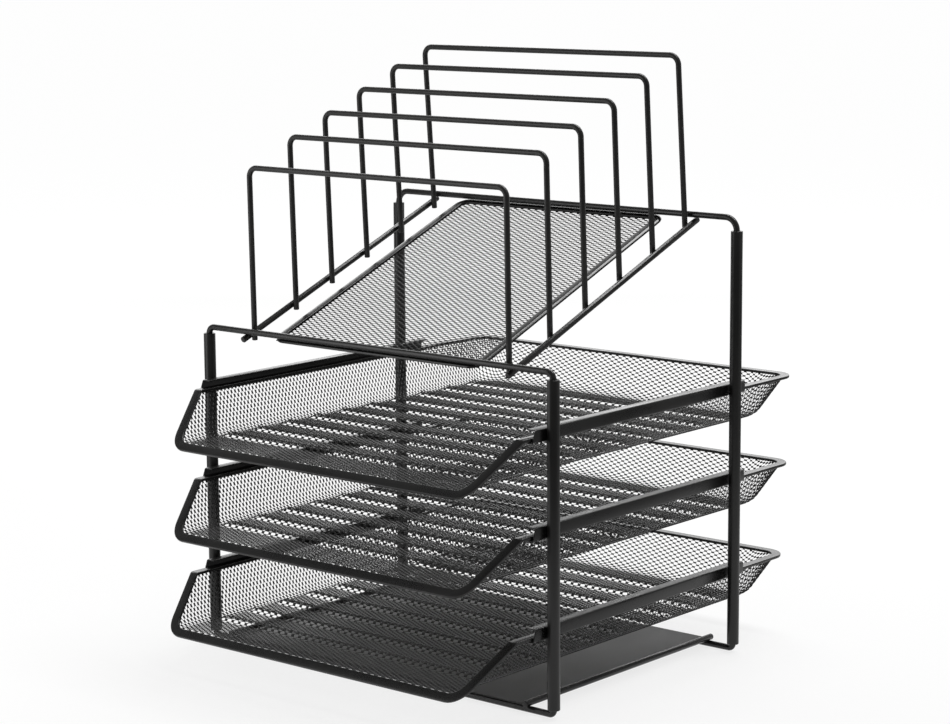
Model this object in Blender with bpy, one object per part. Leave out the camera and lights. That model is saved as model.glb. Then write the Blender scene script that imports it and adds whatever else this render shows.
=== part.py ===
"""Mesh desk organizer: a tube and wire frame with a slotted sorter above three sliding letter trays."""

import math

import bmesh
import bpy
from mathutils import Vector

for old_object in list(bpy.data.objects):
    bpy.data.objects.remove(old_object, do_unlink=True)

# Driving dimensions in metres. The front of the organizer faces -Y.
weld_gap = 0.0003            # hairline between pieces that are welded or rest on each other

post_spacing_x = 0.284       # axis to axis across the width
post_spacing_y = 0.185       # axis to axis from front to rear
post_radius = 0.0038
front_post_top = 0.203
rear_post_top = 0.272

rod_radius = 0.002
rod_leg = 0.012              # length of a rod end inside its post
rod_bore_clearance = 0.0003
bottom_bend = 0.003          # bend radii of the rods, measured on their axis
front_top_bend = 0.0043
rear_top_bend = 0.0083

base_wire_radius = 0.002
base_wire_inset = 0.0182     # post axis to base wire axis
base_wire_front_end = 0.005
base_wire_rear_end = 0.002
base_sheet = 0.0008

rail_sheet = 0.0009
rail_height = 0.0078
rail_top_flange = 0.0065
rail_bottom_flange = 0.0055
rail_corner = 0.0015
rail_front_reach = 0.014     # rail end ahead of the front post axis
rail_rear_reach = 0.017
rail_nose_rake = 0.003       # the rail's upper edge stops short of its lower edge in front
bottom_rail_height = 0.0477
lower_rail_pitch = 0.0609
upper_rail_pitch = 0.058

hem_width = 0.006
hem_thickness = 0.0018
hem_edge = 0.0006            # rounding of the folded hem
hem_side_clearance = 0.0012  # hem edge to rail web
hem_lap = 0.0003             # basket edge outside the hem's inner edge
tray_side_length = 0.286     # straight rim from its front corner to the outer back edge
tray_depth = 0.028           # hem top to basket underside
tray_wall_inset = 0.013      # how far each wall leans in
tray_front_angle = math.radians(40)
tray_back_corner = 0.009     # corner radius of the rim's inner edge
tray_floor_corner = 0.010    # bend between wall and floor
tray_sheet = 0.001
mesh_pitch = 0.026           # plain grid of openings that stands for the fine mesh
mesh_bar = 0.003
rim_corner_ahead = 0.020     # front corner of the top tray's rim, ahead of the front posts
tray_pulled = (0.0, 0.0022, 0.0075)   # top, middle and bottom tray as they stand

incline_wire_radius = 0.002
incline_wire_inset = 0.0326  # post axis to inclined wire axis
incline_front_end = 0.004
incline_rear_end = 0.002
panel_half_width = 0.086
panel_corner = 0.010
panel_overhang = 0.002       # panel edge past the axis of the rod above it
panel_sheet = 0.0008

divider_radius = 0.0018
divider_height = 0.1095      # foot on the inclined wire to the axis of the top bar
end_divider_drop = 0.002     # the first and last divider are this much lower than the others
divider_tail = 0.0032        # leg end below the axis of the inclined wire
divider_bend = 0.006
divider_rod_gap = 0.0008
divider_count = 6
front_slot = 0.0385
first_lean = math.radians(1.0)
lean_step = math.radians(0.7)

wire_sides = 12
arc_steps = 6
post_sides = 24

# Sizes and places that follow from the driving dimensions
post_x = post_spacing_x / 2
rod_foot = rod_radius * math.cos(math.pi / wire_sides)
bottom_rod_z = rod_foot
post_foot = bottom_rod_z + bottom_bend
front_rod_z = front_post_top + front_top_bend
rear_rod_z = rear_post_top + rear_top_bend
incline_angle = math.atan2(rear_rod_z - front_rod_z, post_spacing_y)
incline_length = math.hypot(rear_rod_z - front_rod_z, post_spacing_y)

rail_outer_x = post_x - post_radius - weld_gap
hem_outer_x = rail_outer_x - rail_sheet - hem_side_clearance
hem_inner_x = hem_outer_x - hem_width
middle_rail_height = bottom_rail_height + lower_rail_pitch
top_rail_height = middle_rail_height + upper_rail_pitch
hem_top_above_rail = rail_sheet + weld_gap + hem_thickness

tray_lip_reach = (tray_depth - tray_sheet) / math.tan(tray_front_angle) + hem_width * math.cos(tray_front_angle)
front_reach = rim_corner_ahead + max(tray_pulled) + tray_lip_reach
rear_reach = tray_side_length - rim_corner_ahead - min(tray_pulled)
front_post_y = (front_reach - rear_reach) / 2
rear_post_y = front_post_y + post_spacing_y


def coated_steel(name, tone, roughness):
    """Satin black powder coat over steel."""
    material = bpy.data.materials.new(name + "_coat")
    material.use_nodes = True
    shader = material.node_tree.nodes["Principled BSDF"]
    shader.inputs["Base Color"].default_value = (tone, tone, tone * 0.96, 1.0)
    shader.inputs["Roughness"].default_value = roughness
    shader.inputs["Metallic"].default_value = 0.25
    material.diffuse_color = (tone, tone, tone, 1.0)
    return material


def add_object(name, data, tone=0.022, roughness=0.34, parent=None):
    """Link a named sub-part with its own coat."""
    part = bpy.data.objects.new(name, data)
    bpy.context.scene.collection.objects.link(part)
    data.materials.append(coated_steel(name, tone, roughness))
    part.parent = parent
    return part


def add_frame(name, location, turn_x=0.0):
    """An empty that carries the pieces of one sub-assembly."""
    frame = bpy.data.objects.new(name, None)
    bpy.context.scene.collection.objects.link(frame)
    frame.location = location
    frame.rotation_euler = (turn_x, 0.0, 0.0)
    return frame


def bent_path(corners, radius, closed=False):
    """Points along a polyline whose corners are rounded with arcs."""
    corners = [Vector(corner) for corner in corners]
    count = len(corners)
    points = []
    for index, corner in enumerate(corners):
        if not closed and index in (0, count - 1):
            points.append(corner)
            continue
        inward = (corners[index - 1] - corner).normalized()
        outward = (corners[(index + 1) % count] - corner).normalized()
        half_angle = inward.angle(outward) / 2
        middle = (inward + outward).normalized()
        centre = corner + middle * (radius / math.sin(half_angle))
        start = (corner + inward * (radius / math.tan(half_angle)) - centre).normalized()
        end = (corner + outward * (radius / math.tan(half_angle)) - centre).normalized()
        for step in range(arc_steps + 1):
            points.append(centre + start.slerp(end, step / arc_steps) * radius)
    return points


def add_wire(name, corners, radius, bend=0.0, parent=None, turned=0.0):
    """Round wire along a path with rounded bends."""
    points = bent_path(corners, bend) if bend else [Vector(corner) for corner in corners]
    curve = bpy.data.curves.new(name, "CURVE")
    curve.dimensions = "3D"
    curve.bevel_depth = radius
    curve.bevel_resolution = (wire_sides - 4) // 2
    curve.use_fill_caps = True
    spline = curve.splines.new("POLY")
    spline.points.add(len(points) - 1)
    for point, place in zip(spline.points, points):
        point.co = (*place, 1.0)
        point.tilt = turned
    return add_object(name, curve, parent=parent)


def mesh_from(name, bm):
    """Close a bmesh into mesh data with outward faces and smooth rounds."""
    bmesh.ops.recalc_face_normals(bm, faces=bm.faces)
    mesh = bpy.data.meshes.new(name)
    bm.to_mesh(mesh)
    bm.free()
    mesh.shade_smooth()
    mesh.set_sharp_from_angle(angle=math.radians(35))
    return mesh


def add_post(name, x, y, top):
    """Steel tube, open at both ends for the rod legs."""
    bm = bmesh.new()
    bore = rod_radius + rod_bore_clearance
    profile = ((bore, post_foot), (post_radius, post_foot), (post_radius, top), (bore, top))
    corners = [bm.verts.new((radius, 0.0, height)) for radius, height in profile]
    edges = [bm.edges.new((corners[index - 1], corners[index])) for index in range(len(corners))]
    bmesh.ops.spin(bm, geom=corners + edges, cent=(0, 0, 0), axis=(0, 0, 1),
                   angle=math.tau, steps=post_sides, use_merge=True)
    post = add_object(name, mesh_from(name, bm))
    post.location = (x, y, 0.0)
    return post


def add_cross_rod(name, y, axis_z, leg_end_z, bend):
    """Rod from post to post with both ends bent into the tubes."""
    corners = ((-post_x, y, leg_end_z), (-post_x, y, axis_z), (post_x, y, axis_z), (post_x, y, leg_end_z))
    return add_wire(name, corners, rod_radius, bend, turned=math.pi / wire_sides)


def open_grid(bm, sheet, directions):
    """Divide a flat face into even cells along each direction, then open every cell between its bars."""
    cells = [sheet]
    for direction in directions:
        reaches = [vert.co.dot(direction) for cell in cells for vert in cell.verts]
        low, high = min(reaches), max(reaches)
        count = round((high - low) / mesh_pitch)
        for step in range(1, count):
            pieces = set(cells)
            pieces.update(edge for cell in cells for edge in cell.edges)
            pieces.update(vert for cell in cells for vert in cell.verts)
            cut = bmesh.ops.bisect_plane(bm, geom=list(pieces), dist=1e-6, plane_no=direction,
                                         plane_co=direction * (low + (high - low) * step / count))
            cells = [item for item in cut["geom"] if isinstance(item, bmesh.types.BMFace)]
    bmesh.ops.inset_individual(bm, faces=cells, thickness=mesh_bar / 2, use_even_offset=True)
    bmesh.ops.delete(bm, geom=cells, context="FACES")


def add_plate(name, half_width, front, rear, low, thickness, corner, parent=None, opened=False):
    """Flat sheet with rounded corners, closed or with a grid of openings."""
    outline = ((-half_width, front, low), (half_width, front, low),
               (half_width, rear, low), (-half_width, rear, low))
    bm = bmesh.new()
    face = bm.faces.new([bm.verts.new(place) for place in bent_path(outline, corner, closed=True)])
    if opened:
        open_grid(bm, face, (Vector((1.0, 0.0, 0.0)), Vector((0.0, 1.0, 0.0))))
    grown = bmesh.ops.extrude_face_region(bm, geom=bm.faces[:])
    raised = [item for item in grown["geom"] if isinstance(item, bmesh.types.BMVert)]
    bmesh.ops.translate(bm, verts=raised, vec=(0.0, 0.0, thickness))
    return add_object(name, mesh_from(name, bm), tone=0.028, parent=parent)


def add_rail(name, side, height):
    """C-shaped runner of folded sheet, open towards the tray, welded to both posts."""
    web = side * rail_outer_x
    profile = ((web - side * rail_bottom_flange, 0.0, 0.0), (web, 0.0, 0.0),
               (web, 0.0, rail_height), (web - side * rail_top_flange, 0.0, rail_height))
    bm = bmesh.new()
    section = bent_path(profile, rail_corner)
    front = [bm.verts.new(place) for place in section]
    rear = [bm.verts.new(place) for place in section]
    for vert, place in zip(front, section):
        rake = rail_nose_rake * place.z / rail_height
        vert.co.y = front_post_y - rail_front_reach + rake
    for vert in rear:
        vert.co.y = rear_post_y + rail_rear_reach
    for index in range(len(section) - 1):
        bm.faces.new((front[index], front[index + 1], rear[index + 1], rear[index]))
    bmesh.ops.recalc_face_normals(bm, faces=bm.faces)
    web_face = max(bm.faces, key=lambda face: face.calc_area())
    if web_face.normal.x * side < 0:
        bmesh.ops.reverse_faces(bm, faces=bm.faces)
    mesh = bpy.data.meshes.new(name)
    bm.to_mesh(mesh)
    bm.free()
    rail = add_object(name, mesh)
    rail.location = (0.0, 0.0, height)
    folded = rail.modifiers.new("sheet", "SOLIDIFY")
    folded.thickness = rail_sheet
    folded.offset = -1.0
    folded.use_even_offset = True
    return rail


def hem_profile():
    """Folded hem in (outward, up) steps from the upper inner edge, with rounded edges."""
    return ((0.0, -hem_thickness + hem_edge), (0.0, -hem_edge), (hem_edge, 0.0),
            (hem_width - hem_edge, 0.0), (hem_width, -hem_edge), (hem_width, -hem_thickness + hem_edge),
            (hem_width - hem_edge, -hem_thickness), (hem_edge, -hem_thickness))


def add_hem(name, inner_edge, normals, parent):
    """Sweep the hem round a closed inner edge; each stretch of the edge has its own flat normal."""
    bm = bmesh.new()
    count = len(inner_edge)
    outward = []
    for index in range(count):
        along = (inner_edge[(index + 1) % count] - inner_edge[index]).normalized()
        outward.append(along.cross(normals[index]).normalized())
    rings = []
    for index, place in enumerate(inner_edge):
        before, after = outward[index - 1], outward[index]
        low, high = normals[index - 1], normals[index]
        out = (before + after) / (1.0 + before.dot(after))
        if low != high:
            fold = low.cross(high)
            out = fold / fold.dot(before)
        up = (low + high) / (1.0 + low.dot(high))
        rings.append([bm.verts.new(place + out * across + up * rise) for across, rise in hem_profile()])
    for index in range(count):
        ring = rings[index]
        following = rings[(index + 1) % count]
        for step in range(len(ring)):
            bm.faces.new((ring[step - 1], ring[step], following[step], following[step - 1]))
    return add_object(name, mesh_from(name, bm), tone=0.03, roughness=0.3, parent=parent)


def add_tray_rim(name, parent):
    """Hem along both sides and the back, then down the sloping sides and across the low front lip."""
    back = tray_side_length - hem_width
    flat = Vector((0.0, 0.0, 1.0))
    sloped = Vector((0.0, -math.sin(tray_front_angle), math.cos(tray_front_angle)))
    floor_x = hem_inner_x - tray_wall_inset
    floor_z = tray_sheet - tray_depth
    upper = bent_path(((hem_inner_x, 0.0, 0.0), (hem_inner_x, back, 0.0),
                       (-hem_inner_x, back, 0.0), (-hem_inner_x, 0.0, 0.0)), tray_back_corner)
    lower = bent_path(((-hem_inner_x, 0.0, 0.0), (-floor_x, 0.0, floor_z),
                       (floor_x, 0.0, floor_z), (hem_inner_x, 0.0, 0.0)), tray_floor_corner)
    for place in lower:
        place.y = place.z / math.tan(tray_front_angle)
    inner_edge = upper + lower[1:-1]
    normals = [flat] * (len(upper) - 1) + [sloped] * (len(lower) - 1)
    return add_hem(name, inner_edge, normals, parent)


def add_tray_basket(name, parent):
    """Pressed basket under the rim, as one thin shell cut to the sloping front, its floor and walls opened."""
    edge_drop = hem_thickness + weld_gap
    edge_x = hem_inner_x + hem_lap
    floor_x = edge_x - tray_wall_inset
    floor_z = tray_sheet - tray_depth
    front = -2 * tray_lip_reach
    back = tray_side_length - hem_width + hem_lap
    section = bent_path(((edge_x, 0.0, -edge_drop), (floor_x, 0.0, floor_z), (0.0, 0.0, floor_z)),
                        tray_floor_corner)[:-1]
    bm = bmesh.new()
    levels = []
    for place in section:
        reach = back - (edge_x - place.x)
        outline = bent_path(((place.x, front, place.z), (place.x, reach, place.z),
                             (-place.x, reach, place.z), (-place.x, front, place.z)), tray_back_corner)
        levels.append([bm.verts.new(point) for point in outline])
    for upper, lower in zip(levels, levels[1:]):
        for index in range(len(upper) - 1):
            bm.faces.new((upper[index], upper[index + 1], lower[index + 1], lower[index]))
    bm.faces.new(levels[-1])
    sloped = Vector((0.0, -math.sin(tray_front_angle), math.cos(tray_front_angle)))
    bmesh.ops.bisect_plane(bm, geom=bm.verts[:] + bm.edges[:] + bm.faces[:], dist=1e-6,
                           plane_co=-sloped * edge_drop, plane_no=sloped, clear_outer=True)
    bmesh.ops.recalc_face_normals(bm, faces=bm.faces)
    lowest = min(bm.faces, key=lambda face: face.calc_center_median().z)
    if lowest.normal.z < 0:
        bmesh.ops.reverse_faces(bm, faces=bm.faces)
    width, length = Vector((1.0, 0.0, 0.0)), Vector((0.0, 1.0, 0.0))
    floor_and_walls = sorted(bm.faces, key=lambda face: face.calc_area())[-4:]
    for sheet in floor_and_walls:
        if abs(sheet.normal.z) > 0.9:
            open_grid(bm, sheet, (width, length))
        else:
            open_grid(bm, sheet, (length,) if abs(sheet.normal.x) > abs(sheet.normal.y) else (width,))
    mesh = bpy.data.meshes.new(name)
    bm.to_mesh(mesh)
    bm.free()
    basket = add_object(name, mesh, tone=0.03, roughness=0.4, parent=parent)
    sheet = basket.modifiers.new("sheet", "SOLIDIFY")
    sheet.thickness = tray_sheet
    sheet.offset = -1.0
    sheet.use_even_offset = True
    return basket


# Upright posts
for side_name, side in (("left", -1), ("right", 1)):
    add_post(f"front_{side_name}_post", side * post_x, front_post_y, front_post_top)
    add_post(f"rear_{side_name}_post", side * post_x, rear_post_y, rear_post_top)

# Rods that join the posts at foot and top
add_cross_rod("front_bottom_rod", front_post_y, bottom_rod_z, post_foot + rod_leg, bottom_bend)
add_cross_rod("rear_bottom_rod", rear_post_y, bottom_rod_z, post_foot + rod_leg, bottom_bend)
add_cross_rod("front_top_rod", front_post_y, front_rod_z, front_post_top - rod_leg, front_top_bend)
add_cross_rod("rear_top_rod", rear_post_y, rear_rod_z, rear_post_top - rod_leg, rear_top_bend)

# Base plate and its edge wires, on top of the bottom rods
base_wire_x = post_x - base_wire_inset
base_wire_z = bottom_rod_z + rod_radius + weld_gap + base_wire_radius
for side_name, side in (("left", -1), ("right", 1)):
    ends = ((side * base_wire_x, front_post_y - base_wire_front_end, base_wire_z),
            (side * base_wire_x, rear_post_y + base_wire_rear_end, base_wire_z))
    add_wire(f"{side_name}_base_wire", ends, base_wire_radius)
add_plate("base_plate", base_wire_x - base_wire_radius - weld_gap, front_post_y - rod_radius,
          rear_post_y + rod_radius, bottom_rod_z + rod_radius + weld_gap, base_sheet, rod_radius)

# Runner rails, left and right at three heights
for tier, height in (("top", top_rail_height), ("middle", middle_rail_height), ("bottom", bottom_rail_height)):
    for side_name, side in (("left", -1), ("right", 1)):
        add_rail(f"{tier}_{side_name}_rail", side, height)

# Inclined sorter bed: two wires and a hemmed mesh panel, welded under both top rods
sorter_bed = add_frame("sorter_bed", (0.0, front_post_y, front_rod_z), incline_angle)
incline_wire_x = post_x - incline_wire_inset
incline_wire_drop = rod_radius + weld_gap + incline_wire_radius
for side_name, side in (("left", -1), ("right", 1)):
    ends = ((side * incline_wire_x, -incline_front_end, -incline_wire_drop),
            (side * incline_wire_x, incline_length + incline_rear_end, -incline_wire_drop))
    add_wire(f"{side_name}_incline_wire", ends, incline_wire_radius, parent=sorter_bed)

panel_drop = rod_radius + weld_gap
panel_front = hem_width - panel_overhang
panel_rear = incline_length - panel_front
panel_inner_x = panel_half_width - hem_width
panel_edge = bent_path(((panel_inner_x, panel_front, -panel_drop), (panel_inner_x, panel_rear, -panel_drop),
                        (-panel_inner_x, panel_rear, -panel_drop), (-panel_inner_x, panel_front, -panel_drop)),
                       panel_corner - hem_width, closed=True)
add_hem("sorter_panel_rim", panel_edge, [Vector((0.0, 0.0, 1.0))] * len(panel_edge), sorter_bed)
panel_lap = hem_width / 2
add_plate("sorter_panel_mesh", panel_inner_x + panel_lap, panel_front - panel_lap, panel_rear + panel_lap,
          -panel_drop - hem_thickness - weld_gap - panel_sheet, panel_sheet, panel_corner - panel_lap, sorter_bed,
          opened=True)

# Dividers: inverted U wires on the inner side of the inclined wires, each leaning a little further forward
divider_x = incline_wire_x - incline_wire_radius - divider_radius - weld_gap
divider_inset = rod_radius + divider_radius + divider_rod_gap
slot_pitch = (post_spacing_y - 2 * divider_inset - front_slot) / (divider_count - 2)
wire_drop_z = incline_wire_drop / math.cos(incline_angle)
for number in range(divider_count):
    reach = divider_inset
    if number > 0:
        reach += front_slot + (number - 1) * slot_pitch
    tall = divider_height
    if number in (0, divider_count - 1):
        tall -= end_divider_drop
    shape = ((-divider_x, 0.0, -divider_tail), (-divider_x, 0.0, tall),
             (divider_x, 0.0, tall), (divider_x, 0.0, -divider_tail))
    divider = add_wire(f"divider_{number + 1}", shape, divider_radius, divider_bend)
    foot_z = front_rod_z - wire_drop_z + reach * math.tan(incline_angle)
    divider.location = (0.0, front_post_y + reach, foot_z)
    divider.rotation_euler = (first_lean + number * lean_step, 0.0, 0.0)

# Sliding trays, each carried by an empty on its slide axis
for tier, height, pulled in (("top", top_rail_height, tray_pulled[0]),
                             ("middle", middle_rail_height, tray_pulled[1]),
                             ("bottom", bottom_rail_height, tray_pulled[2])):
    slide = add_frame(f"{tier}_tray_slide", (0.0, front_post_y - rim_corner_ahead - pulled,
                                             height + hem_top_above_rail))
    add_tray_rim(f"{tier}_tray_rim", slide)
    add_tray_basket(f"{tier}_tray_basket", slide)
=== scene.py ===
"""Looks of the mesh desk organizer: coated tube, wire, folded sheet and expanded mesh on the CAD frame."""

import math

import bmesh
import bpy
from mathutils import Matrix, Vector


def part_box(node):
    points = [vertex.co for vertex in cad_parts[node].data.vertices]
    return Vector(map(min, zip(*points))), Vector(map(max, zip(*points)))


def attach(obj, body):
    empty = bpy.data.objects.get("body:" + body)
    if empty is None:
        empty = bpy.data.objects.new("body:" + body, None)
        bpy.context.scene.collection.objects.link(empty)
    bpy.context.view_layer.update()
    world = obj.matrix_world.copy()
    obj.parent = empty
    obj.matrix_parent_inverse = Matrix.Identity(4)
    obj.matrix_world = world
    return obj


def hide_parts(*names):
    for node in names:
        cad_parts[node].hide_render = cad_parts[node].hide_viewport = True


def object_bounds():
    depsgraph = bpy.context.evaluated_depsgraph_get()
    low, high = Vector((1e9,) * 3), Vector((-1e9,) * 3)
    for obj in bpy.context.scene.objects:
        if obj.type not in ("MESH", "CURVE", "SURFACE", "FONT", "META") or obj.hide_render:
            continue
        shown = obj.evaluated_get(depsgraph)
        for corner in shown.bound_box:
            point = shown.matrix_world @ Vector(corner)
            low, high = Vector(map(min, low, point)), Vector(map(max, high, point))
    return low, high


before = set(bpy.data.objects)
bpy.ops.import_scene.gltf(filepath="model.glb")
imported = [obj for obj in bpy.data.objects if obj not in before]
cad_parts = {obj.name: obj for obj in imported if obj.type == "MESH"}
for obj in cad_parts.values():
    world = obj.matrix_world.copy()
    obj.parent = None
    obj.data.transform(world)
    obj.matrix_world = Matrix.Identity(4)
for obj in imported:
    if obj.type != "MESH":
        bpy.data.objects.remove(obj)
cad_low, cad_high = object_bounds()

# Studio: an endless white floor and a white backdrop behind the organizer, in a room that is dim on the
# camera's side. A long soft box hangs overhead towards the rear, a wide one stands behind the organizer, and
# two narrow ones stand at its sides.
studio = bpy.context.scene
studio.view_settings.view_transform = "Standard"

camera_place = Vector((1.0712, -1.2702, 0.4660))
camera_yaw = math.radians(40.427)
camera_pitch = math.radians(9.544)
camera_roll = math.radians(-0.42)
camera = bpy.data.objects.new("camera", bpy.data.cameras.new("camera"))
studio.collection.objects.link(camera)
studio.camera = camera
camera.data.sensor_width = 36.0
camera.data.lens = 99.38
camera.data.shift_x = 0.0105
camera.data.shift_y = -0.0022
camera.data.clip_end = 300.0
camera.matrix_world = (Matrix.Translation(camera_place) @ Matrix.Rotation(camera_yaw, 4, "Z")
                       @ Matrix.Rotation(math.pi / 2 - camera_pitch, 4, "X")
                       @ Matrix.Rotation(camera_roll, 4, "Z"))

view_ahead = (-math.sin(camera_yaw), math.cos(camera_yaw), 0.0)
glow_ahead = 0.94
glow_down = 0.34
room_glow = (glow_ahead * view_ahead[0], glow_ahead * view_ahead[1], -glow_down)

room = bpy.data.worlds.new("white_room")
studio.world = room
room.use_nodes = True
room_nodes = room.node_tree.nodes
room_links = room.node_tree.links
room_direction = room_nodes.new("ShaderNodeTexCoord")
room_depth = room_nodes.new("ShaderNodeVectorMath")
room_depth.operation = "DOT_PRODUCT"
room_depth.inputs[1].default_value = room_glow
room_level = room_nodes.new("ShaderNodeMapRange")
room_level.interpolation_type = "SMOOTHSTEP"
room_level.inputs["From Min"].default_value = 0.2
room_level.inputs["From Max"].default_value = 0.85
room_level.inputs["To Min"].default_value = 0.2
room_level.inputs["To Max"].default_value = 1.0
room_backdrop = room_nodes.new("ShaderNodeMapRange")
room_backdrop.interpolation_type = "SMOOTHSTEP"
room_backdrop.inputs["From Min"].default_value = 0.5
room_backdrop.inputs["From Max"].default_value = 0.8
room_links.new(room_direction.outputs["Generated"], room_depth.inputs[0])
for room_side in (room_level, room_backdrop):
    room_links.new(room_depth.outputs["Value"], room_side.inputs["Value"])


def add_math(tree, operation, first, second):
    """A math node of two inputs, each a socket to link or a plain number."""
    node = tree.nodes.new("ShaderNodeMath")
    node.operation = operation
    for socket, value in zip(node.inputs, (first, second)):
        if isinstance(value, float):
            socket.default_value = value
        else:
            tree.links.new(value, socket)
    return node.outputs["Value"]


def add_white_backdrop(tree, seen, mirrored):
    """How white the backdrop glows: as seen by the camera, and as shown by gloss and clear pieces."""
    ray = tree.nodes.new("ShaderNodeLightPath").outputs
    shown = add_math(tree, "MAXIMUM", ray["Is Glossy Ray"], ray["Is Transmission Ray"])
    return add_math(tree, "MAXIMUM", add_math(tree, "MULTIPLY", ray["Is Camera Ray"], seen),
                    add_math(tree, "MULTIPLY", shown, mirrored))


room_white = add_white_backdrop(room.node_tree, 1.0, room_backdrop.outputs["Result"])
room_nodes["Background"].inputs["Color"].default_value = (1.0, 1.0, 1.0, 1.0)
room_links.new(add_math(room.node_tree, "MAXIMUM", room_level.outputs["Result"], room_white),
               room_nodes["Background"].inputs["Strength"])

for lamp_name, width, height, watts, stand, aim in (
        ("overhead_lamp", 1.5, 0.45, 20.0, (0.10, 0.68, 1.73), (0.10, 0.0, 0.25)),
        ("rear_soft_box", 2.0, 0.6, 7.5, (-0.836, 0.996, 0.72), (0.0, 0.0, 0.2)),
        ("left_soft_box", 0.30, 0.6, 1.0, (-0.37, -0.55, 0.305), (0.0, 0.0, 0.2)),
        ("right_soft_box", 0.25, 0.6, 0.12, (0.66, 0.24, 0.305), (0.0, 0.0, 0.2))):
    lamp = bpy.data.objects.new(lamp_name, bpy.data.lights.new(lamp_name, "AREA"))
    studio.collection.objects.link(lamp)
    lamp.data.shape = "RECTANGLE"
    lamp.data.size = width
    lamp.data.size_y = height
    lamp.data.energy = watts
    lamp.visible_camera = False
    lamp.location = stand
    lamp.rotation_euler = (Vector(aim) - Vector(stand)).to_track_quat("-Z", "Y").to_euler()

floor_half = 90.0
floor_gap = 0.0003
floor_mesh = bpy.data.meshes.new("white_floor")
floor_bm = bmesh.new()
bmesh.ops.create_grid(floor_bm, x_segments=8, y_segments=8, size=floor_half)
bmesh.ops.translate(floor_bm, verts=floor_bm.verts, vec=(0.0, 0.0, cad_low.z - floor_gap))
floor_bm.to_mesh(floor_mesh)
floor_bm.free()
floor = bpy.data.objects.new("white_floor", floor_mesh)
studio.collection.objects.link(floor)
floor_paint = bpy.data.materials.new("white_floor_paint")
floor_paint.use_nodes = True
floor_nodes = floor_paint.node_tree.nodes
floor_links = floor_paint.node_tree.links
floor_shader = floor_nodes["Principled BSDF"]
floor_shader.inputs["Base Color"].default_value = (0.22, 0.22, 0.22, 1.0)
floor_shader.inputs["Roughness"].default_value = 0.9
floor_shader.inputs["Specular IOR Level"].default_value = 0.0
floor_shader.inputs["Emission Color"].default_value = (1.0, 1.0, 1.0, 1.0)
floor_place = floor_nodes.new("ShaderNodeTexCoord")
floor_reach = floor_nodes.new("ShaderNodeVectorMath")
floor_reach.operation = "LENGTH"
floor_depth = floor_nodes.new("ShaderNodeVectorMath")
floor_depth.operation = "DOT_PRODUCT"
floor_depth.inputs[1].default_value = view_ahead
for floor_measure in (floor_reach, floor_depth):
    floor_links.new(floor_place.outputs["Object"], floor_measure.inputs[0])
floor_lift = floor_nodes.new("ShaderNodeMapRange")
floor_lift.inputs["From Min"].default_value = 1.2
floor_lift.inputs["From Max"].default_value = 1.8
floor_lift.inputs["To Min"].default_value = 0.79
floor_lift.inputs["To Max"].default_value = 0.93
floor_links.new(floor_reach.outputs["Value"], floor_lift.inputs["Value"])
floor_backdrop = floor_nodes.new("ShaderNodeMapRange")
floor_backdrop.interpolation_type = "SMOOTHSTEP"
floor_backdrop.inputs["From Min"].default_value = 1.2
floor_backdrop.inputs["From Max"].default_value = 2.4
floor_links.new(floor_depth.outputs["Value"], floor_backdrop.inputs["Value"])
floor_near = floor_nodes.new("ShaderNodeMapRange")
floor_near.interpolation_type = "SMOOTHSTEP"
floor_near.inputs["From Min"].default_value = 0.3
floor_near.inputs["From Max"].default_value = 0.9
floor_near.inputs["To Min"].default_value = 0.6
floor_near.inputs["To Max"].default_value = 0.0
floor_links.new(floor_reach.outputs["Value"], floor_near.inputs["Value"])
floor_mirrored = add_math(floor_paint.node_tree, "MAXIMUM", floor_backdrop.outputs["Result"],
                          floor_near.outputs["Result"])
floor_links.new(add_white_backdrop(floor_paint.node_tree, floor_lift.outputs["Result"], floor_mirrored),
                floor_shader.inputs["Emission Strength"])
floor_mesh.materials.append(floor_paint)


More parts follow.
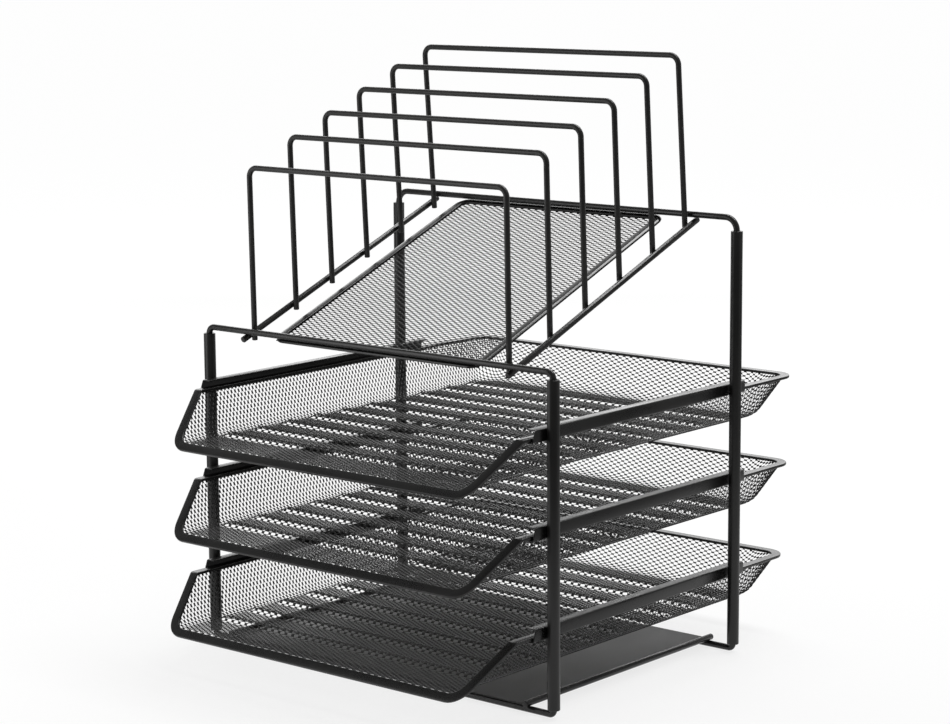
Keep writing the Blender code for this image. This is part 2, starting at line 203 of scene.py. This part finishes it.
# Posts: four uprights of steel tube, cut square and deburred, open at both ends for the rods.
# Like every piece they carry a satin black powder coat with a fine orange peel.
def powder_coat(name, pigment, roughness):
    """Satin black powder coat: faint clouds in its pigment, uneven gloss and a fine orange peel."""
    coat = bpy.data.materials.new(name)
    coat.use_nodes = True
    nodes = coat.node_tree.nodes
    links = coat.node_tree.links
    shader = nodes["Principled BSDF"]
    place = nodes.new("ShaderNodeTexCoord")
    clouds = nodes.new("ShaderNodeTexNoise")
    clouds.inputs["Scale"].default_value = 28.0
    clouds.inputs["Detail"].default_value = 4.0
    grains = nodes.new("ShaderNodeTexNoise")
    grains.inputs["Scale"].default_value = 2600.0
    grains.inputs["Detail"].default_value = 1.0
    peel = nodes.new("ShaderNodeTexNoise")
    peel.inputs["Scale"].default_value = 620.0
    peel.inputs["Detail"].default_value = 2.5
    peel.inputs["Roughness"].default_value = 0.45
    for noise in (clouds, grains, peel):
        links.new(place.outputs["Object"], noise.inputs["Vector"])
    tint = nodes.new("ShaderNodeValToRGB")
    tint.color_ramp.elements[0].position = 0.3
    tint.color_ramp.elements[0].color = (pigment * 0.75, pigment * 0.75, pigment * 0.74, 1.0)
    tint.color_ramp.elements[1].position = 0.72
    tint.color_ramp.elements[1].color = (pigment * 1.3, pigment * 1.27, pigment * 1.2, 1.0)
    links.new(clouds.outputs["Fac"], tint.inputs["Fac"])
    links.new(tint.outputs["Color"], shader.inputs["Base Color"])
    sheen = nodes.new("ShaderNodeMath")
    sheen.operation = "MULTIPLY_ADD"
    sheen.inputs[1].default_value = 0.16
    links.new(grains.outputs["Fac"], sheen.inputs[0])
    gloss = nodes.new("ShaderNodeMapRange")
    gloss.inputs["From Min"].default_value = 0.25
    gloss.inputs["From Max"].default_value = 0.75
    gloss.inputs["To Min"].default_value = roughness - 0.13
    gloss.inputs["To Max"].default_value = roughness - 0.03
    links.new(clouds.outputs["Fac"], gloss.inputs["Value"])
    links.new(gloss.outputs["Result"], sheen.inputs[2])
    links.new(sheen.outputs["Value"], shader.inputs["Roughness"])
    skin = nodes.new("ShaderNodeBump")
    skin.inputs["Strength"].default_value = 0.16
    skin.inputs["Distance"].default_value = 0.0002
    links.new(peel.outputs["Fac"], skin.inputs["Height"])
    links.new(skin.outputs["Normal"], shader.inputs["Normal"])
    return coat


def set_in_place(name, bm, coat, body, node, crease=math.radians(32)):
    """Make the finished mesh a piece that rides on its body and stands for its CAD node."""
    bmesh.ops.recalc_face_normals(bm, faces=bm.faces)
    mesh = bpy.data.meshes.new(name)
    bm.to_mesh(mesh)
    bm.free()
    mesh.materials.append(coat)
    mesh.shade_smooth()
    mesh.set_sharp_from_angle(angle=crease)
    piece = bpy.data.objects.new(name, mesh)
    studio.collection.objects.link(piece)
    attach(piece, body)
    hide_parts(node)


tube_coat = powder_coat("tube_powder_coat", 0.014, 0.36)
tube_bore = 0.0023
tube_mouth_round = 0.00045
for node in ("front_left_post", "front_right_post", "rear_left_post", "rear_right_post"):
    low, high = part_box(node)
    tube_radius = (high.x - low.x) / 2
    bm = bmesh.new()
    wall = [bm.verts.new((radius, 0.0, height)) for radius, height in (
        (tube_bore, low.z), (tube_radius, low.z), (tube_radius, high.z), (tube_bore, high.z))]
    outline = [bm.edges.new((wall[index - 1], wall[index])) for index in range(len(wall))]
    bmesh.ops.spin(bm, geom=wall + outline, cent=(0, 0, 0), axis=(0, 0, 1), angle=math.tau,
                   steps=48, use_merge=True)
    mouths = [edge for edge in bm.edges if abs(edge.verts[0].co.z - edge.verts[1].co.z) < 1e-6
              and abs(edge.verts[0].co.length_squared - edge.verts[1].co.length_squared) < 1e-10]
    bmesh.ops.bevel(bm, geom=mouths, offset=tube_mouth_round, segments=3, profile=0.5,
                    affect="EDGES", material=-1, clamp_overlap=True)
    bmesh.ops.translate(bm, verts=bm.verts, vec=((low.x + high.x) / 2, (low.y + high.y) / 2, 0.0))
    set_in_place(node + "_tube", bm, tube_coat, "frame", node)


# Rods: 4 mm steel wire across the front and the rear, at the foot and at the top. Both ends of a rod are
# bent and plug into the posts.
wire_sides = 24
bend_steps = 10
cut_end_share = 0.3


def bend_wire(corners, radius, bend=0.0):
    """Draw a round wire along straight runs, turned about the inside of every bend; round its cut ends."""
    corners = [Vector(corner) for corner in corners]
    heading = (corners[1] - corners[0]).normalized()
    start = Matrix.Translation(corners[0]) @ heading.to_track_quat("Z", "Y").to_matrix().to_4x4()
    bm = bmesh.new()
    bmesh.ops.create_circle(bm, cap_ends=True, segments=wire_sides, radius=radius, matrix=start)
    bm.faces.ensure_lookup_table()
    tip = bm.faces[0]
    reached = corners[0]
    for index in range(1, len(corners)):
        stop = corners[index]
        if index < len(corners) - 1:
            onward = (corners[index + 1] - corners[index]).normalized()
            turn = heading.angle(onward)
            setback = bend * math.tan(turn / 2)
            stop = corners[index] - heading * setback
        drawn = bmesh.ops.extrude_face_region(bm, geom=[tip])["geom"]
        tip = next(item for item in drawn if isinstance(item, bmesh.types.BMFace))
        bmesh.ops.translate(bm, verts=tip.verts, vec=stop - reached)
        reached = stop
        if index < len(corners) - 1:
            axis = heading.cross(onward).normalized()
            bent = bmesh.ops.spin(bm, geom=[tip], cent=stop + axis.cross(heading) * bend, axis=axis,
                                  angle=turn, steps=bend_steps, use_duplicate=False)["geom_last"]
            tip = next(item for item in bent if isinstance(item, bmesh.types.BMFace))
            reached = corners[index] + onward * setback
            heading = onward
    cut_ends = {edge for face in bm.faces if len(face.verts) == wire_sides for edge in face.edges}
    bmesh.ops.bevel(bm, geom=list(cut_ends), offset=radius * cut_end_share, segments=3, profile=0.5,
                    affect="EDGES", material=-1, clamp_overlap=True)
    return bm


# The wires' pigment is lighter than the posts' and the sheet's. That is painted light: it stands in for the
# light from above and in front that the top rods catch. The bottom rods, base wires and bed wires share it.
rod_coat_painted_lighter = powder_coat("rod_powder_coat_painted_lighter", 0.022, 0.25)
rod_radius = 0.002
for node, bend, legs_up in (("front_bottom_rod", 0.003, True), ("rear_bottom_rod", 0.003, True),
                            ("front_top_rod", 0.0043, False), ("rear_top_rod", 0.0083, False)):
    low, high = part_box(node)
    run_x = (high.x - low.x) / 2 - rod_radius
    run_y = (low.y + high.y) / 2
    run_z, leg_z = (low.z + rod_radius, high.z) if legs_up else (high.z - rod_radius, low.z)
    rod = bend_wire(((-run_x, run_y, leg_z), (-run_x, run_y, run_z),
                     (run_x, run_y, run_z), (run_x, run_y, leg_z)), rod_radius, bend)
    set_in_place(node + "_wire", rod, rod_coat_painted_lighter, "frame", node)


# Base: a flat steel sheet that lies on both bottom rods between two straight wires.
# The wires stick out past the rods, and the sheet's corners are rounded.
base_coat = powder_coat("base_matt_coat", 0.038, 0.55)
base_corner = 0.002
base_edge_round = 0.00025
low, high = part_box("base_plate")
bm = bmesh.new()
bmesh.ops.create_grid(bm, x_segments=1, y_segments=1, size=0.5)
bmesh.ops.scale(bm, verts=bm.verts, vec=(high.x - low.x, high.y - low.y, 1.0))
bmesh.ops.bevel(bm, geom=bm.verts[:], offset=base_corner, segments=5, profile=0.5,
                affect="VERTICES", material=-1)
bmesh.ops.translate(bm, verts=bm.verts, vec=((low.x + high.x) / 2, (low.y + high.y) / 2, low.z))
raised = bmesh.ops.extrude_face_region(bm, geom=bm.faces[:])["geom"]
bmesh.ops.translate(bm, verts=[item for item in raised if isinstance(item, bmesh.types.BMVert)],
                    vec=(0.0, 0.0, high.z - low.z))
bmesh.ops.bevel(bm, geom=[edge for edge in bm.edges if abs(edge.verts[0].co.z - edge.verts[1].co.z) < 1e-6],
                offset=base_edge_round, segments=2, profile=0.5, affect="EDGES", material=-1)
set_in_place("base_plate_sheet", bm, base_coat, "frame", "base_plate")

for node in ("left_base_wire", "right_base_wire"):
    low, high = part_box(node)
    across = (low.x + high.x) / 2
    level = (low.z + high.z) / 2
    wire = bend_wire(((across, low.y, level), (across, high.y, level)), (high.x - low.x) / 2)
    set_in_place(node + "_rod", wire, rod_coat_painted_lighter, "frame", node)


# Rails: six C-shaped runners folded from steel strip and spot-welded to the inside of the posts. They are
# open towards the trays, and their front ends are cut at a slight rake.
sheet_coat = powder_coat("sheet_powder_coat", 0.011, 0.30)
rail_sheet = 0.0009
rail_lower_step = 0.001
rail_fold = 0.0011
rail_cut_round = 0.0003
rail_nose_rake = 0.003
rail_sharp = math.radians(60)
for tier in ("top", "middle", "bottom"):
    for hand, side in (("left", -1), ("right", 1)):
        node = f"{tier}_{hand}_rail"
        low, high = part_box(node)
        web, inner = (high.x, low.x) if side > 0 else (low.x, high.x)
        lower_inner = inner + side * rail_lower_step
        bm = bmesh.new()
        section = [bm.verts.new(place) for place in (
            (lower_inner, low.y, low.z), (web, low.y, low.z), (web, low.y, high.z), (inner, low.y, high.z))]
        strip = [bm.edges.new((section[index], section[index + 1])) for index in range(len(section) - 1)]
        drawn = bmesh.ops.extrude_edge_only(bm, edges=strip)["geom"]
        bmesh.ops.translate(bm, verts=[item for item in drawn if isinstance(item, bmesh.types.BMVert)],
                            vec=(0.0, high.y - low.y, 0.0))
        for vert in section[2:]:
            vert.co.y += rail_nose_rake
        bmesh.ops.recalc_face_normals(bm, faces=bm.faces)
        web_face = max(bm.faces, key=lambda face: abs(face.normal.x))
        if web_face.normal.x * side < 0:
            bmesh.ops.reverse_faces(bm, faces=bm.faces)
        folds = [edge for edge in bm.edges if len(edge.link_faces) == 2]
        bmesh.ops.bevel(bm, geom=folds, offset=rail_fold, segments=5, profile=0.5,
                        affect="EDGES", material=-1)
        bmesh.ops.solidify(bm, geom=bm.faces[:], thickness=rail_sheet)
        cut = [edge for edge in bm.edges if len(edge.link_faces) == 2
               and edge.calc_face_angle() > rail_sharp]
        bmesh.ops.bevel(bm, geom=cut, offset=rail_cut_round, segments=2, profile=0.5,
                        affect="EDGES", material=-1)
        set_in_place(node + "_channel", bm, sheet_coat, "frame", node)


# Sorter bed: two wires and a framed mesh panel, all welded to the underside of both top rods, so that the
# bed climbs towards the rear. The panel's frame is a band of sheet folded over the edge of the expanded mesh
# and rolled off along its outside.
bed_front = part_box("front_top_rod")
bed_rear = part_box("rear_top_rod")
bed_place = Vector((0.0, (bed_front[0].y + bed_front[1].y) / 2, bed_front[1].z - rod_radius))
bed_run = (bed_rear[0].y + bed_rear[1].y) / 2 - bed_place.y
bed_climb = bed_rear[1].z - rod_radius - bed_place.z
bed_length = math.hypot(bed_run, bed_climb)
bed = Matrix.Translation(bed_place) @ Matrix.Rotation(math.atan2(bed_climb, bed_run), 4, "X")
weld_gap = 0.0003
bed_wire_drop = 2 * rod_radius + weld_gap
bed_wire_front_end = 0.004
bed_wire_rear_end = 0.002
for node in ("left_incline_wire", "right_incline_wire"):
    low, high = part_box(node)
    across = (low.x + high.x) / 2
    wire = bend_wire((bed @ Vector((across, -bed_wire_front_end, -bed_wire_drop)),
                      bed @ Vector((across, bed_length + bed_wire_rear_end, -bed_wire_drop))), rod_radius)
    set_in_place(node + "_rod", wire, rod_coat_painted_lighter, "frame", node)

band_width = 0.006
band_thickness = 0.0018
band_round = 0.0004
band_round_steps = 4
band_crease_bend = 0.0012


def rounded_corners(corners, radius, steps, closed):
    """Places along a line of corners, each turned with an arc."""
    corners = [Vector(corner) for corner in corners]
    places = []
    for index, corner in enumerate(corners):
        if not closed and index in (0, len(corners) - 1):
            places.append(corner)
            continue
        back = (corners[index - 1] - corner).normalized()
        ahead = (corners[(index + 1) % len(corners)] - corner).normalized()
        half = back.angle(ahead) / 2
        centre = corner + (back + ahead).normalized() * (radius / math.sin(half))
        first = (corner + back * (radius / math.tan(half)) - centre).normalized()
        last = (corner + ahead * (radius / math.tan(half)) - centre).normalized()
        places += [centre + first.slerp(last, step / steps) * radius for step in range(steps + 1)]
    return places


def fold_band(inner_edge, faces_up, roll_out, roll_down):
    """Draw the folded band round a closed inner edge, rolled off outside; each stretch has its own face."""
    profile = []
    for outer, upper, first in ((True, True, 90.0), (True, False, 0.0),
                                (False, False, -90.0), (False, True, -180.0)):
        wide, high = (roll_out, roll_down) if outer and upper else (band_round, band_round)
        across = band_width - wide if outer else wide
        rise = -high if upper else high - band_thickness
        for step in range(band_round_steps + 1):
            angle = math.radians(first - 90.0 * step / band_round_steps)
            profile.append((across + wide * math.cos(angle), rise + high * math.sin(angle)))
    count = len(inner_edge)
    outward = []
    for index in range(count):
        along = (inner_edge[(index + 1) % count] - inner_edge[index]).normalized()
        outward.append(along.cross(faces_up[index]).normalized())
    rings = []
    folds = []
    for index, place in enumerate(inner_edge):
        before, after = outward[index - 1], outward[index]
        low_face, high_face = faces_up[index - 1], faces_up[index]
        out = (before + after) / (1.0 + before.dot(after))
        if low_face != high_face:
            crease = low_face.cross(high_face)
            out = crease / crease.dot(before)
            folds.append(index)
        up = (low_face + high_face) / (1.0 + low_face.dot(high_face))
        rings.append([place + out * across + up * rise for across, rise in profile])
    bm = bmesh.new()
    ring = [bm.verts.new(place) for place in rings[0]]
    strip = [bm.edges.new((ring[index - 1], ring[index])) for index in range(len(ring))]
    crease_edges = []
    for index in list(range(1, count)) + [0]:
        drawn = bmesh.ops.extrude_edge_only(bm, edges=strip)["geom"]
        fresh = [item for item in drawn if isinstance(item, bmesh.types.BMVert)]
        strip = [item for item in drawn if isinstance(item, bmesh.types.BMEdge)
                 and item.verts[0] in fresh and item.verts[1] in fresh]
        held = {tuple(vert.co): number for number, vert in enumerate(ring)}
        moved = [None] * len(ring)
        for vert in fresh:
            moved[held[tuple(vert.co)]] = vert
        ring = moved
        for vert, place in zip(ring, rings[index]):
            vert.co = place
        if index in folds:
            crease_edges += strip
    bmesh.ops.remove_doubles(bm, verts=bm.verts, dist=1e-7)
    crease_edges = [edge for edge in crease_edges if edge.is_valid]
    if crease_edges:
        bmesh.ops.bevel(bm, geom=crease_edges, offset=band_crease_bend, segments=5, profile=0.5,
                        affect="EDGES", material=-1, clamp_overlap=True)
    return bm


panel_band_coat = powder_coat("panel_band_powder_coat", 0.008, 0.22)
panel_half = 0.086
panel_corner = 0.010
panel_drop = rod_radius + weld_gap
panel_roll_out = 0.0022
panel_roll_down = 0.0013
panel_corner_steps = 6
panel_overhang = 0.002
panel_front = band_width - panel_overhang
panel_rear = bed_length - panel_front
panel_inner = panel_half - band_width
panel_edge = rounded_corners(((panel_inner, panel_front, -panel_drop),
                              (panel_inner, panel_rear, -panel_drop),
                              (-panel_inner, panel_rear, -panel_drop),
                              (-panel_inner, panel_front, -panel_drop)),
                             panel_corner - band_width, panel_corner_steps, True)
bm = fold_band(panel_edge, [Vector((0.0, 0.0, 1.0))] * len(panel_edge), panel_roll_out, panel_roll_down)
bmesh.ops.transform(bm, matrix=bed, verts=bm.verts)
set_in_place("sorter_panel_band", bm, panel_band_coat, "frame", "sorter_panel_rim")

mesh_long_way = 0.00592
panel_short_way = 0.00323
tray_short_way = 0.00305
mesh_bond_length = 0.0022
mesh_bond_width = 0.00093
mesh_bond_corner = 0.00016
panel_bond_tilt = 0.36
tray_bond_tilt = 0.66
mesh_gauge = 0.0002


def expand_mesh(half_width, front, rear, short_way, bond_tilt):
    """Slit and stretch a sheet: staggered rows of stout tilted bonds, joined by thin strands."""
    bm = bmesh.new()
    bmesh.ops.create_grid(bm, x_segments=1, y_segments=1, size=0.5)
    bmesh.ops.scale(bm, verts=bm.verts, vec=(mesh_bond_length, mesh_bond_width, 1.0))
    bmesh.ops.bevel(bm, geom=bm.verts[:], offset=mesh_bond_corner, segments=1, profile=0.5,
                    affect="VERTICES", material=-1)
    for vert in bm.verts:
        vert.co.z = vert.co.y * bond_tilt
    for edge in bm.edges[:]:
        slit_end = (edge.verts[0].co + edge.verts[1].co) / 2
        if abs(slit_end.x) > mesh_bond_length / 4 and slit_end.y > mesh_bond_width / 4:
            strand = bmesh.ops.extrude_edge_only(bm, edges=[edge])["geom"]
            bmesh.ops.translate(bm, verts=[item for item in strand if isinstance(item, bmesh.types.BMVert)],
                                vec=(math.copysign(mesh_long_way / 2, slit_end.x) - 2 * slit_end.x,
                                     short_way / 2 - 2 * slit_end.y, -2 * slit_end.z))
    row_step = Vector((0.0, short_way, 0.0))
    column_step = Vector((mesh_long_way, 0.0, 0.0))
    columns = math.ceil(half_width / mesh_long_way)
    rows = math.ceil((rear - front) / short_way)
    for step, count in (((row_step + column_step) / 2, 1), (column_step, 2 * columns), (row_step, rows)):
        bmesh.ops.spin(bm, geom=bm.verts[:] + bm.edges[:] + bm.faces[:], cent=(0, 0, 0), axis=(0, 0, 1),
                       dvec=step, angle=0.0, steps=count, use_duplicate=True)
    bmesh.ops.remove_doubles(bm, verts=bm.verts, dist=1e-6)
    bmesh.ops.translate(bm, verts=bm.verts, vec=(-columns * mesh_long_way, front, 0.0))
    waste = [face for face in bm.faces if abs(face.calc_center_median().x) > half_width
             or not front < face.calc_center_median().y < rear]
    bmesh.ops.delete(bm, geom=waste, context="FACES")
    return bm


mesh_coat = powder_coat("mesh_powder_coat", 0.012, 0.45)
panel_lap = band_width / 2
bm = expand_mesh(panel_inner + panel_lap, panel_front - panel_lap, panel_rear + panel_lap,
                 panel_short_way, panel_bond_tilt)
bmesh.ops.solidify(bm, geom=bm.faces[:], thickness=mesh_gauge)
bmesh.ops.translate(bm, verts=bm.verts, vec=(0.0, 0.0, -panel_drop - band_thickness))
bmesh.ops.transform(bm, matrix=bed, verts=bm.verts)
set_in_place("sorter_panel_expanded_mesh", bm, mesh_coat, "frame", "sorter_panel_mesh", math.pi)


# Dividers: six inverted U's of thin wire, welded inside the two wires of the bed. Each leans a little
# further forward than the one before it.
divider_count = 6
divider_radius = 0.0018
divider_bend = 0.006
divider_lean_degrees = 1.0
divider_lean_step_degrees = 0.7
# The dividers' pigment is lighter than the posts' and the sheet's. That is painted light: it stands in for
# the extra light from above that falls on these upper wires.
divider_coat_painted_lighter = powder_coat("divider_powder_coat_painted_lighter", 0.035, 0.36)
for number in range(divider_count):
    node = f"divider_{number + 1}"
    low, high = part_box(node)
    lean = math.radians(divider_lean_degrees + divider_lean_step_degrees * number)
    leg_x = (high.x - low.x) / 2 - divider_radius
    tall = (high.z - low.z - divider_radius * (1 + math.sin(lean))) / math.cos(lean)
    foot = Vector((0.0, high.y - divider_radius * math.cos(lean), low.z + divider_radius * math.sin(lean)))
    upright = Matrix.Translation(foot) @ Matrix.Rotation(lean, 4, "X")
    divider = bend_wire([upright @ Vector(place) for place in (
        (-leg_x, 0.0, 0.0), (-leg_x, 0.0, tall), (leg_x, 0.0, tall), (leg_x, 0.0, 0.0))],
        divider_radius, divider_bend)
    set_in_place(node + "_wire", divider, divider_coat_painted_lighter, "frame", node)


# Letter trays: each is a basket pressed from expanded mesh, with stiffening ribs across its floor and a flat
# band of sheet folded over its edge. The band runs along both sides and the back, then down the sloping
# front sides and across the low lip. The trays slide in the rails.
band_coat = powder_coat("band_powder_coat", 0.008, 0.30)
tray_length = 0.286
tray_depth = 0.028
tray_sheet = 0.001
tray_lean = 0.013
tray_slope = math.radians(40)
tray_corner = 0.009
tray_bend = 0.010
tray_corner_steps = 8
band_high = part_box("top_tray_rim")[1]
tray_half = band_high.x - band_width
tray_floor = tray_sheet - tray_depth
sloped = Vector((0.0, -math.sin(tray_slope), math.cos(tray_slope)))
level_edge = rounded_corners(((tray_half, 0.0, 0.0), (tray_half, tray_length - band_width, 0.0),
                              (-tray_half, tray_length - band_width, 0.0), (-tray_half, 0.0, 0.0)),
                             tray_corner, tray_corner_steps, False)
sloped_edge = rounded_corners(((-tray_half, 0.0, 0.0), (-tray_half + tray_lean, 0.0, tray_floor),
                               (tray_half - tray_lean, 0.0, tray_floor), (tray_half, 0.0, 0.0)),
                              tray_bend, tray_corner_steps, False)
for place in sloped_edge:
    place.y = place.z / math.tan(tray_slope)
tray_edge = level_edge + sloped_edge[1:-1]
tray_faces = [Vector((0.0, 0.0, 1.0))] * (len(level_edge) - 1) + [sloped] * (len(sloped_edge) - 1)

wall_lap = 0.0012
wall_drop = band_thickness + weld_gap
wall_tilt = math.atan2(tray_lean, -tray_floor - wall_drop)
wall_turn = math.pi / 2 - wall_tilt
wall_setback = tray_bend * math.tan(wall_turn / 2)
sheet_level = tray_floor - tray_sheet / 2
bend_radius = tray_bend + tray_sheet / 2
flat_half = tray_half + weld_gap - tray_lean - wall_setback
flat_rear = tray_length - band_width + weld_gap - tray_lean - wall_setback
wall_length = 0.036
blank_front = -0.042
floor_split = 0.128
side_drag = 0.5
drag_reach = 0.16
rib_count = 10
rib_first = 0.002
rib_pitch = 0.0265
rib_height = 0.0032
rib_width = 0.009
rib_run_out = 0.005


def press_up(reach, rise):
    """How far out and up a place is pressed, by its reach past the flat floor and its rise off the sheet."""
    bent = min(max(reach, 0.0) / bend_radius, wall_turn)
    run = max(reach - wall_turn * bend_radius, 0.0)
    out = bend_radius * math.sin(bent) + run * math.cos(wall_turn) + min(reach, 0.0)
    height = bend_radius * (1.0 - math.cos(bent)) + run * math.sin(wall_turn)
    return out - rise * math.sin(bent), height + rise * math.cos(bent)


def rib_rise(across, along):
    """Height of the stiffening ribs pressed up across the floor; each runs out before the side walls."""
    number = min(max(round((along - rib_first) / rib_pitch), 0), rib_count - 1)
    aside = min(abs(along - rib_first - number * rib_pitch) / (rib_width / 2), 1.0)
    fade = min(max((flat_half - abs(across)) / rib_run_out, 0.0), 1.0)
    return rib_height * fade * (1.0 + math.cos(math.pi * aside)) / 2


def press_basket(bm):
    """Press the flat mesh into a ribbed floor, and walls that crowd together round the rear corners."""
    turn_x = flat_half - tray_corner
    turn_y = flat_rear - tray_corner
    for vert in bm.verts:
        across, along, rise = vert.co
        rise += rib_rise(across, along)
        hand = math.copysign(1.0, across)
        over_x = abs(across) - turn_x
        over_y = along - turn_y
        if over_x > 0.0 and over_y > 0.0:
            out, height = press_up(math.hypot(over_x, over_y) - tray_corner, rise)
            if out <= 0.0:
                vert.co.z = height
                continue
            side = out * (1.0 - side_drag)
            bow = tray_corner * math.pi / 2
            way = (side + bow + out) * math.atan2(over_y, over_x) / (math.pi / 2)
            turned = min(max(way - side, 0.0), bow) / tray_corner
            vert.co = (hand * (turn_x + out + tray_corner * math.cos(turned) - max(way - side - bow, 0.0)),
                       turn_y + out + tray_corner * math.sin(turned) - max(side - way, 0.0), height)
        elif over_x >= over_y:
            out, height = press_up(over_x - tray_corner, rise)
            drag = side_drag * max(out, 0.0) * min(max(along, 0.0) / drag_reach, 1.0)
            vert.co = (hand * (flat_half + out), along + drag, height)
        else:
            out, height = press_up(over_y - tray_corner, rise)
            vert.co = (across, flat_rear + out, height)
    bmesh.ops.translate(bm, verts=bm.verts, vec=(0.0, 0.0, sheet_level))
    for away in (Vector((0.0, 0.0, 1.0)), sloped):
        bmesh.ops.bisect_plane(bm, geom=bm.verts[:] + bm.edges[:] + bm.faces[:], dist=1e-7,
                               plane_co=-away * wall_lap, plane_no=away, clear_outer=True)


blank = expand_mesh(flat_half + wall_length, blank_front, flat_rear + wall_length,
                    tray_short_way, tray_bond_tilt)
press_basket(blank)
for tier in ("top", "middle", "bottom"):
    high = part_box(f"{tier}_tray_rim")[1]
    seat = Vector((0.0, high.y - tray_length, high.z))
    band = fold_band(tray_edge, tray_faces, band_round, band_round)
    bmesh.ops.translate(band, verts=band.verts, vec=seat)
    set_in_place(f"{tier}_tray_band", band, band_coat, f"{tier}_tray", f"{tier}_tray_rim")
    for part, level, start, end in (("floor_front", True, -math.inf, floor_split),
                                    ("floor_rear", True, floor_split, math.inf),
                                    ("walls", False, -math.inf, math.inf)):
        bm = blank.copy()
        waste = []
        for face in bm.faces:
            centre = face.calc_center_median()
            on_floor = abs(centre.x) < flat_half and centre.y < flat_rear
            if on_floor != level or not start < centre.y <= end:
                waste.append(face)
        bmesh.ops.delete(bm, geom=waste, context="FACES")
        bmesh.ops.solidify(bm, geom=bm.faces[:], thickness=mesh_gauge)
        bmesh.ops.translate(bm, verts=bm.verts, vec=seat)
        set_in_place(f"{tier}_tray_mesh_{part}", bm, mesh_coat, f"{tier}_tray",
                     f"{tier}_tray_basket", math.pi)
blank.free()
